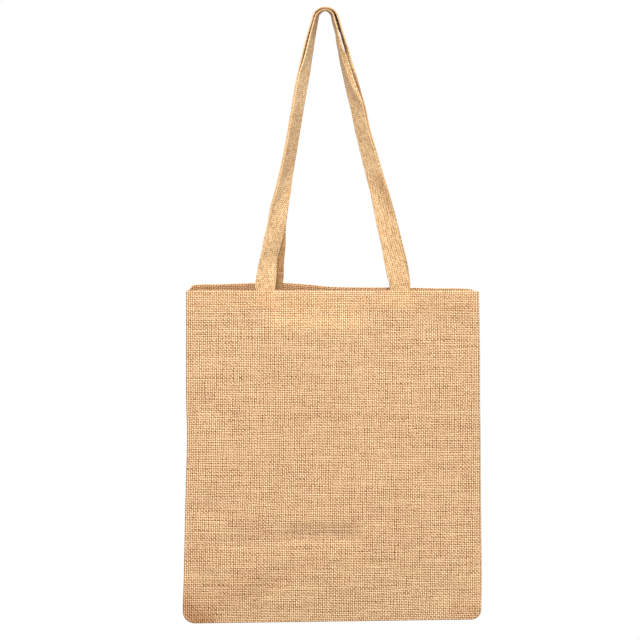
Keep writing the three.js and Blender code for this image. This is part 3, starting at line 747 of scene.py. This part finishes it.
def handlePiece(name, panel, material, seed):
    # a strap's two legs in one strip, from foot to foot, with a point on each yarn and between two
    random = np.random.default_rng(seed)
    warps = round(strap["width"] / webbingWeave["warpPitch"])
    u = np.arange(2 * warps + 1) / 2 - 0.5          # whole on a warp, a half between two
    widths = (u + 0.5) * webbingWeave["warpPitch"] - strap["width"] / 2
    step = webbingWeave["weftPitch"] / 2
    left = legPoints(leftLeg, panel, widths, step)
    right = legPoints(rightLeg, panel, widths, step)[-2::-1]
    points = np.concatenate([left, right])
    rows, columns = points.shape[:2]
    u, v = np.meshgrid(u, np.arange(rows) / 2)
    height = weaveHeight(u, v, webbingWeave)
    reverse = weaveHeight(u, v + 1, webbingWeave)
    uneven, reach = strap["crownUneven"], strap["crownReach"]
    crown = (1 + uneven * wander(random, rows, columns, reach[0])
             + uneven * wander(random, columns, rows, reach[1]).T)
    # the weft turns back round the outermost warps, so the edges are thin and even, and painted pale all
    # along as a painted highlight
    edge = np.isin(np.arange(columns), (0, columns - 1))
    shrink = -strap["thick"] / 2 * (1 - strap["edge"]) * edge
    # painted light and shade on the strap, from its table
    grid = {"points": points, "threads": np.stack([u, v], -1),
            "backing": strap["paintedEdgeHighlight"] * edge + 0 * u,
            "marks": softLines(marks[f"{panel} strap"], points[..., 0], points[..., 2]),
            "lift": strap["lift"] * (height - strap["faceLevel"]) * crown * ~edge + shrink,
            "under": strap["lift"] * (reverse - strap["faceLevel"]) * crown * ~edge + shrink}
    return clothMesh(name, [grid], strap["thick"], material, ["backing", "marks"])


frontWebbing = juteMaterial("jute webbing, front", webbingWeave, seed=1.7)
backWebbing = juteMaterial("jute webbing, back", webbingWeave, seed=5.2)
frontHandle = handlePiece("front_webbing", "front", frontWebbing, seed=21)
backHandle = handlePiece("back_webbing", "back", backWebbing, seed=22)

print("stage: stitching")
sewing = {
    "length": 4.4,           # of a stitch that shows
    "pitch": 5.6,
    "thread": 1.0,           # thickness of the thread
    "dip": 0.7,              # how far a stitch's ends go into the cloth
    "onYarns": 0.3,          # its middle lies on the yarns, at this share of their height
    "line": 21.0,            # seam that holds the hem, below the mouth
    "lineStops": 9.0,        # short of the side seams
    "tackLines": (2.6, 16.0),    # seams that hold each strap's foot, below the mouth
    "tackWidth": 21.0,
    "rings": 6, "sides": 8,  # faces of one stitch
    "plies": 2,
    "lay": 3.0,              # turns of the plies in half a stitch
    "plyShare": 0.3,         # how much they show, against the fibres
    "levels": ((0.1, "#8E6A42"), (0.8, "#C9AE86")),
    "bump": 0.2,
    "bumpStrength": 0.5,
}


def threadMaterial(title, seed):
    # jute sewing twine, paler than the cloth: its plies are a cosine round the thread that turns
    # along it
    material, tree = emptyMaterial(title)
    place = addNode(tree, "SeparateXYZ", {0: addNode(tree, "UVMap", uv_map="Twist").outputs["UV"]})
    slanted = addNode(tree, "Math", {0: place.outputs["X"], 1: sewing["lay"], 2: place.outputs["Y"]},
                      operation="MULTIPLY_ADD")
    angle = addNode(tree, "Math", {0: slanted.outputs[0], 1: 2 * np.pi * sewing["plies"]},
                    operation="MULTIPLY")
    ply = addNode(tree, "Math", {0: angle.outputs[0]}, operation="COSINE")
    fibre = addNode(tree, "TexNoise", {"Vector": addNode(tree, "TexCoord").outputs["Object"], "W": seed,
                                       "Scale": 1 / (jute["fibre"] * toMetres), "Detail": 2.0},
                    noise_dimensions="4D")
    height = addNode(tree, "Math", {0: ply.outputs[0], 1: sewing["plyShare"], 2: fibre.outputs[0]},
                     operation="MULTIPLY_ADD")
    colour = addNode(tree, "ValToRGB", {0: height.outputs[0]})
    for stop, (level, code) in zip(colour.color_ramp.elements, sewing["levels"]):
        stop.position, stop.color = level, linearColour(code)
    bump = addNode(tree, "Bump", {"Strength": sewing["bumpStrength"],
                                  "Distance": sewing["bump"] * toMetres, "Height": height.outputs[0]})
    shader = addNode(tree, "BsdfPrincipled", {
        "Base Color": colour.outputs[0], "Roughness": 0.85, "Specular IOR Level": 0.2,
        "Normal": bump.outputs[0]})
    addNode(tree, "OutputMaterial", {"Surface": shader.outputs[0]})
    return material


def seamRow(panel, first, last, down, inward=None):
    # middle, direction and outward side of each stitch along a seam, on the outer face of a
    # panel, or inside the bag where inward is the distance from the panel's mid thickness
    count = int((last - first) // sewing["pitch"])
    middle = (first + last) / 2 + (np.arange(count) - (count - 1) / 2) * sewing["pitch"]
    depth = bag["cloth"] / 2 + bag["lift"] * sewing["onYarns"] if inward is None else -inward
    down = down + 0 * middle
    ends = [middle + end * sewing["length"] / 2 for end in (-1, 1)]
    ends = [panelPoints(panel, at, down, standOff(panel, at, down) + depth) for at in ends]
    along = ends[1] - ends[0]
    outward = np.zeros_like(along)
    outward[:, 1] = (-1 if panel == "front" else 1) * (1 if inward is None else -1)
    return (ends[0] + ends[1]) / 2, along / np.linalg.norm(along, axis=1, keepdims=True), outward


def stitchPiece(name, seams, material):
    # every stitch is one short bar. From end to end its radius goes as the root of a sine, and it
    # dips into the cloth by the square of the way from its middle.
    middle, along, outward = (np.concatenate(part) for part in zip(*seams))
    sideways = np.cross(outward, along)
    turn = np.pi * np.arange(1, sewing["rings"]) / sewing["rings"]
    around = 2 * np.pi * np.arange(sewing["sides"]) / sewing["sides"]
    lengthwise, radius = -np.cos(turn)[:, None], np.sqrt(np.sin(turn))[:, None]
    ring = np.stack([lengthwise + 0 * around, radius * np.cos(around), radius * np.sin(around)], -1)
    unit = np.concatenate([ring.reshape(-1, 3), [[-1, 0, 0], [1, 0, 0]]])
    half, thick = sewing["length"] / 2, sewing["thread"] / 2
    reach = unit * (half, thick, thick) - unit[:, :1] ** 2 * (0, 0, sewing["dip"])
    points = middle[:, None] + reach @ np.stack([along, sideways, outward], 1)
    k, bands, last = sewing["sides"], sewing["rings"] - 2, len(unit) - 1
    faces = []
    for j in range(k):
        j2, end = (j + 1) % k, bands * k
        faces += [[i * k + j, i * k + j2, (i + 1) * k + j2, (i + 1) * k + j] for i in range(bands)]
        faces += [[last - 1, j2, j], [last, end + j, end + j2]]
    every = [[v + n * len(unit) for v in face] for n in range(len(points)) for face in faces]
    twist = np.stack([unit[:, 0], np.arctan2(unit[:, 2], unit[:, 1]) / (2 * np.pi)], -1)
    twist = np.tile(twist, (len(points), 1))
    piece = smoothPiece(name, points.reshape(-1, 3), every, "Twist", twist, material)
    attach(piece, "root")
    return piece


def triangles(piece):
    # a face counts for two less than its corners
    return sum(len(face.vertices) - 2 for face in piece.data.polygons)


stitching = {}
onStrap = strapDepth + strap["thick"] / 2 + strap["lift"] / 2
for number, panel in enumerate(("front", "back")):
    first, last = sewing["lineStops"], panelWidth - sewing["lineStops"]
    seams = [seamRow(panel, first, last, sewing["line"], inward) for inward in (None, onLeaf)]
    for leg in (leftLeg, rightLeg):
        foot = footAcross(leg, panel)
        first, last = foot - sewing["tackWidth"] / 2, foot + sewing["tackWidth"] / 2
        seams += [seamRow(panel, first, last, down, inward)
                  for down in sewing["tackLines"] for inward in (None, onStrap)]
    material = threadMaterial(f"jute sewing twine, {panel}", seed=2.0 + number)
    stitching[panel] = stitchPiece(f"{panel}_stitching", seams, material)
    print(stitching[panel].name, "triangles", triangles(stitching[panel]))

panelCut, strapCut = (378, 437), (25, 757)      # flat sizes
sheets = [                   # piece, its node and slot, its cut, what it rests on and what is sewn to it
    (frontPanel, "front_panel", "jute_hessian_front", panelCut, ["front_handle"], [stitching["front"]]),
    (backPanel, "back_panel", "jute_hessian_back", panelCut, ["back_handle"], [stitching["back"]]),
    (frontHandle, "front_handle", "jute_webbing_front", strapCut, ["back_handle"], []),
    (backHandle, "back_handle", "jute_webbing_back", strapCut, [], []),
]
for piece, node, slot, cut, restsOn, sewnOn in sheets:
    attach(piece, "root")
    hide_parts(node)
    print(piece.name, "triangles", triangles(piece))

print("stage: floor, light and camera")
studio = {
    "floorBelow": 250.0,     # under the bag
    "floorSize": 2600.0,
    "floor": "#D9D7D3",
    "world": 1.0,            # strength of the white world
    "cameraAway": 8000.0,
    "viewWidth": 778.2,      # at the bag
    "aim": (-6.1, -376.4),   # x and z in the middle of the view
    "sensor": 36.0,
    "light": (-100, -1900, 1900),
    "lightAim": (0, 0, -450),
    "lightSize": 1000.0,
    "watts": 125,
}

floor = bpy.data.meshes.new("floor")
half, level = studio["floorSize"] / 2, cadBox[0][2] / toMetres - studio["floorBelow"]
corners = [(-half, -half, level), (half, -half, level), (half, half, level), (-half, half, level)]
floor.from_pydata(np.array(corners) * toMetres, [], [(0, 1, 2, 3)])
floorPiece = bpy.data.objects.new("floor", floor)
bpy.context.scene.collection.objects.link(floorPiece)
paint = bpy.data.materials.new("matt studio floor")      # matt emulsion
paint.use_nodes = True
shader = paint.node_tree.nodes["Principled BSDF"]
shader.inputs["Base Color"].default_value = linearColour(studio["floor"])
shader.inputs["Roughness"].default_value = 0.9
floor.materials.append(paint)

world = bpy.data.worlds.new("studio")
bpy.context.scene.world = world
world.use_nodes = True
world.node_tree.nodes["Background"].inputs["Color"].default_value = (1, 1, 1, 1)
world.node_tree.nodes["Background"].inputs["Strength"].default_value = studio["world"]

lamp = bpy.data.lights.new("softbox", "AREA")
lamp.shape, lamp.size, lamp.energy = "SQUARE", studio["lightSize"] * toMetres, studio["watts"]
softbox = bpy.data.objects.new("softbox", lamp)
bpy.context.scene.collection.objects.link(softbox)
start, end = (np.array(studio[key]) * toMetres for key in ("light", "lightAim"))
softbox.location = start
softbox.rotation_euler = Vector(end - start).to_track_quat("-Z", "Y").to_euler()

lens = bpy.data.cameras.new("camera")
lens.sensor_width = studio["sensor"]
lens.lens = studio["sensor"] * studio["cameraAway"] / studio["viewWidth"]
camera = bpy.data.objects.new("camera", lens)
bpy.context.scene.collection.objects.link(camera)
camera.location = np.array([studio["aim"][0], -studio["cameraAway"], studio["aim"][1]]) * toMetres
camera.rotation_euler = (np.pi / 2, 0, 0)
bpy.context.scene.camera = camera
